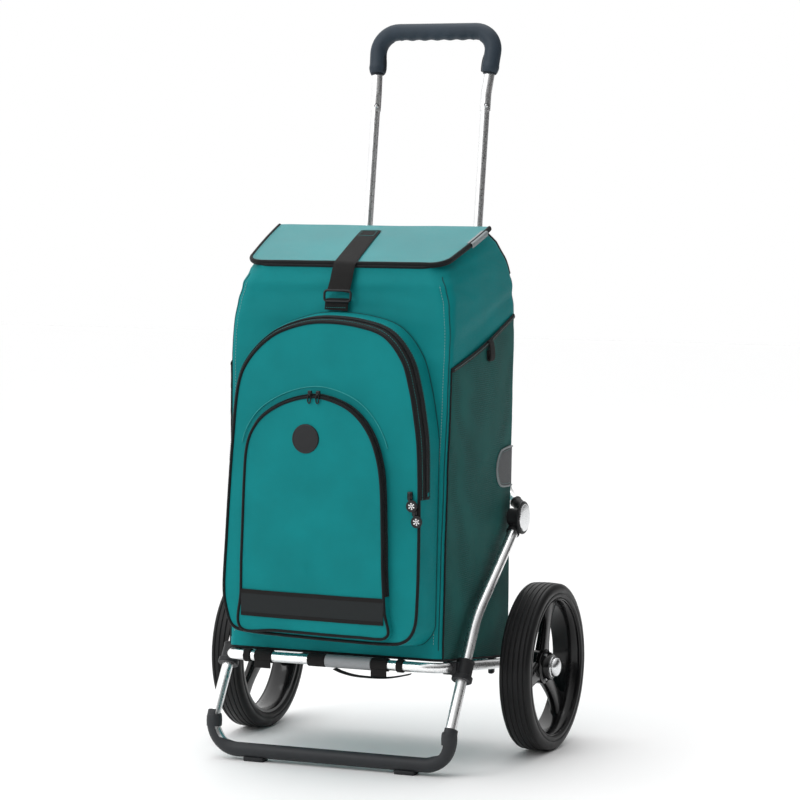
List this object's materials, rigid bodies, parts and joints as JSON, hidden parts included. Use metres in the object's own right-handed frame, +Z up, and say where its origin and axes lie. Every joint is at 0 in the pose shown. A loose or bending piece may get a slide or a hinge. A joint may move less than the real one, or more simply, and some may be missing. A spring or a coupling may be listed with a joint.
{
  "type": "two-wheeled shopping trolley",
  "caption": "Two-wheeled shopping trolley: aluminium stand and fold-back handle, spoked wheels, tall fabric bag with hinged flap and zipped pockets.",
  "frame": {"origin": "centre of the overall box, at floor level", "axes": "+Z up, the front of the bag faces -Y, X across the trolley with the node names' right side at +X"},
  "size_m": [0.523, 0.4666, 1.0849],
  "materials": {
    "aluminium": "satin anodised tube",
    "steel": "zinc-plated",
    "chrome": "polished cap",
    "black_plastic": "fine moulded grain",
    "rim_plastic": "glossy black moulding",
    "rubber": "matt ribbed rubber",
    "grip_plastic": "soft-touch dark grey",
    "fabric": "coated polyester, fine weave",
    "fabric_flap": "coated polyester, fine weave, lit from above",
    "mesh": "dark knitted mesh over lining",
    "webbing": "woven polyester webbing",
    "reflective": "grey reflective tape",
    "trim_grey": "light grey trim"
  },
  "bodies": {
    "root": {"axle": "steel", "axle_hook_left": "black_plastic", "axle_hook_right": "black_plastic", "bag_shell": "fabric", "base_board": "black_plastic", "closure_anchor": "webbing", "foot_bumper": "black_plastic", "foot_pad_left": "rubber", "foot_pad_right": "rubber", "front_badge": "black_plastic", "front_pocket": "fabric", "platform_strap_1": "webbing", "platform_strap_2": "webbing", "platform_strap_3": "webbing", "platform_strap_4": "webbing", "platform_strap_5": "webbing", "platform_tube": "aluminium", "platform_wrap": "reflective", "pull_tab_left": "webbing", "pull_tab_right": "webbing", "rail_bracket_left": "black_plastic", "rail_bracket_right": "black_plastic", "reflective_band": "reflective", "side_patch_left": "trim_grey", "side_patch_right": "trim_grey", "side_pocket_left": "mesh", "side_pocket_right": "mesh", "small_pocket": "fabric", "stand_socket_left": "black_plastic", "stand_socket_right": "black_plastic", "stand_tube": "aluminium", "strap_tail": "webbing", "zip_slider_1": "steel", "zip_slider_2": "steel"},
    "handle": {"handle_tube_left": "aluminium", "handle_tube_right": "aluminium", "upper_tube": "aluminium", "grip": "grip_plastic", "handle_socket_left": "black_plastic", "handle_socket_right": "black_plastic", "knuckle_cap_left": "chrome", "knuckle_cap_right": "chrome"},
    "wheel_left": {"tyre_left": "rubber", "rim_left": "rim_plastic", "hub_cap_left": "chrome"},
    "wheel_right": {"tyre_right": "rubber", "rim_right": "rim_plastic", "hub_cap_right": "chrome"},
    "lid": {"lid_flap": "fabric_flap", "closure_strap": "webbing", "closure_ring": "black_plastic", "lid_tag": "trim_grey"},
    "button_left": {"snap_button_left": "steel"},
    "button_right": {"snap_button_right": "steel"},
    "latch_left": {"bracket_latch_left": "black_plastic"},
    "latch_right": {"bracket_latch_right": "black_plastic"},
    "pull_1": {"zip_pull_1": "black_plastic"},
    "pull_2": {"zip_pull_2": "black_plastic"},
    "pull_3": {"zip_pull_3": "black_plastic"},
    "pull_4": {"zip_pull_4": "black_plastic"}
  },
  "joints": [
    {"name": "handle_fold", "type": "hinge", "parent": "root", "child": "handle", "pos_m": [0, 0.0764, 0.345], "axis": [1, 0, 0], "range_deg": [-60, 0]},
    {"name": "wheel_left_spin", "type": "hinge", "parent": "root", "child": "wheel_left", "pos_m": [-0.23425, 0.0684, 0.125], "axis": [1, 0, 0], "continuous": true},
    {"name": "wheel_right_spin", "type": "hinge", "parent": "root", "child": "wheel_right", "pos_m": [0.23425, 0.0684, 0.125], "axis": [1, 0, 0], "continuous": true},
    {"name": "lid_open", "type": "hinge", "parent": "root", "child": "lid", "pos_m": [0, 0.0124, 0.778], "axis": [-1, 0, 0], "range_deg": [0, 150]},
    {"name": "snap_button_left_press", "type": "slide", "parent": "handle", "child": "button_left", "axis": [-0.5, 0.866, 0], "range_m": [0, 0.003], "stiffness_N_per_m": 300, "springref_m": -0.002},
    {"name": "snap_button_right_press", "type": "slide", "parent": "handle", "child": "button_right", "axis": [-0.5, 0.866, 0], "range_m": [0, 0.003], "stiffness_N_per_m": 300, "springref_m": -0.002},
    {"name": "bracket_latch_left_press", "type": "hinge", "parent": "root", "child": "latch_left", "pos_m": [-0.187, -0.11041, 0.13743], "axis": [1, 0, 0], "range_deg": [0, 6], "stiffness_Nm_per_rad": 0.05, "springref_deg": -5.73},
    {"name": "bracket_latch_right_press", "type": "hinge", "parent": "root", "child": "latch_right", "pos_m": [0.187, -0.11041, 0.13743], "axis": [1, 0, 0], "range_deg": [0, 6], "stiffness_Nm_per_rad": 0.05, "springref_deg": -5.73},
    {"name": "zip_pull_1_swing", "type": "hinge", "parent": "root", "child": "pull_1", "pos_m": [0.138, -0.21402, 0.401], "axis": [-1, 0, 0], "range_deg": [0, 110]},
    {"name": "zip_pull_2_swing", "type": "hinge", "parent": "root", "child": "pull_2", "pos_m": [0.146, -0.21518, 0.379], "axis": [-1, 0, 0], "range_deg": [0, 110]},
    {"name": "zip_pull_3_swing", "type": "hinge", "parent": "root", "child": "pull_3", "pos_m": [-0.015, -0.2169, 0.545], "axis": [-1, 0, 0], "range_deg": [0, 110]},
    {"name": "zip_pull_4_swing", "type": "hinge", "parent": "root", "child": "pull_4", "pos_m": [-0.002, -0.2169, 0.545], "axis": [-1, 0, 0], "range_deg": [0, 110]}
  ]
}
